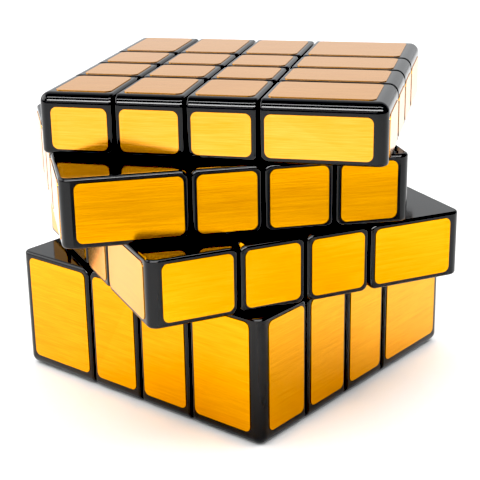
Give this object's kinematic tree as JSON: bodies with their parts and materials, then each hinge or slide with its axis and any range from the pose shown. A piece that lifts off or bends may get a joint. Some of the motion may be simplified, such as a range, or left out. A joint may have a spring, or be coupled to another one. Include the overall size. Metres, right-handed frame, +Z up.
{
  "type": "mirror block puzzle cube",
  "caption": "Twisting block puzzle: black blocks of uneven thickness with brushed gold foils, stacked in layers that turn about a hidden core.",
  "frame": {"origin": "centre of the bottom layer's square face, on the surface that the puzzle stands on", "axes": "+Z up, parallel to the turning axis, which stands 4 mm to the left of the origin and 1.33 mm in front of it; +X and +Y square to the bottom layer's side faces, towards its right and back faces, the two that are further from the axis"},
  "size_m": [0.088, 0.0866, 0.0602],
  "materials": {
    "black_plastic": "high gloss, moulded",
    "gold_foil": "brushed metallic foil",
    "inner_plastic": "satin, moulded",
    "core_plastic": "satin, moulded",
    "steel": "zinc plated"
  },
  "bodies": {
    "bottom_layer": {"bottom_corner_front_left": "black_plastic", "bottom_corner_front_right": "black_plastic", "bottom_corner_back_left": "black_plastic", "bottom_corner_back_right": "black_plastic", "bottom_edge_front_left": "black_plastic", "bottom_edge_front_right": "black_plastic", "bottom_edge_back_left": "black_plastic", "bottom_edge_back_right": "black_plastic", "bottom_edge_left_front": "black_plastic", "bottom_edge_right_front": "black_plastic", "bottom_edge_left_back": "black_plastic", "bottom_edge_right_back": "black_plastic", "bottom_centres": "black_plastic", "bottom_axis_cap": "inner_plastic", "bottom_inner_centres": "inner_plastic", "bottom_inner_edges": "inner_plastic", "bottom_foils": "gold_foil"},
    "core": {"core_spider": "core_plastic", "axis_screws": "steel", "axis_springs": "steel", "side_axis_caps": "inner_plastic", "core_inner_centres": "inner_plastic", "core_inner_edges": "inner_plastic"},
    "lower_middle_layer": {"lower_edge_front_left": "black_plastic", "lower_edge_front_right": "black_plastic", "lower_edge_back_left": "black_plastic", "lower_edge_back_right": "black_plastic", "lower_centres_front": "black_plastic", "lower_centres_back": "black_plastic", "lower_centres_left": "black_plastic", "lower_centres_right": "black_plastic", "lower_inner_centres": "inner_plastic", "lower_foils": "gold_foil"},
    "upper_middle_layer": {"upper_edge_front_left": "black_plastic", "upper_edge_front_right": "black_plastic", "upper_edge_back_left": "black_plastic", "upper_edge_back_right": "black_plastic", "upper_centres_front": "black_plastic", "upper_centres_back": "black_plastic", "upper_centres_left": "black_plastic", "upper_centres_right": "black_plastic", "upper_inner_centres": "inner_plastic", "upper_foils": "gold_foil"},
    "top_layer": {"top_corner_front_left": "black_plastic", "top_corner_front_right": "black_plastic", "top_corner_back_left": "black_plastic", "top_corner_back_right": "black_plastic", "top_edge_front_left": "black_plastic", "top_edge_front_right": "black_plastic", "top_edge_back_left": "black_plastic", "top_edge_back_right": "black_plastic", "top_edge_left_front": "black_plastic", "top_edge_right_front": "black_plastic", "top_edge_left_back": "black_plastic", "top_edge_right_back": "black_plastic", "top_centres": "black_plastic", "top_axis_cap": "inner_plastic", "top_inner_centres": "inner_plastic", "top_inner_edges": "inner_plastic", "top_foils": "gold_foil"}
  },
  "joints": [
    {"name": "core_turn", "type": "hinge", "parent": "bottom_layer", "child": "core", "pos_m": [-0.004, -0.00133, 0.03679], "axis": [0, 0, 1], "continuous": true},
    {"name": "lower_middle_turn", "type": "hinge", "parent": "core", "child": "lower_middle_layer", "pos_m": [-0.004, -0.00133, 0.03054], "axis": [0, 0, 1], "continuous": true},
    {"name": "upper_middle_turn", "type": "hinge", "parent": "core", "child": "upper_middle_layer", "pos_m": [-0.004, -0.00133, 0.04304], "axis": [0, 0, 1], "continuous": true},
    {"name": "top_turn", "type": "hinge", "parent": "core", "child": "top_layer", "pos_m": [-0.004, -0.00133, 0.05469], "axis": [0, 0, 1], "continuous": true}
  ]
}
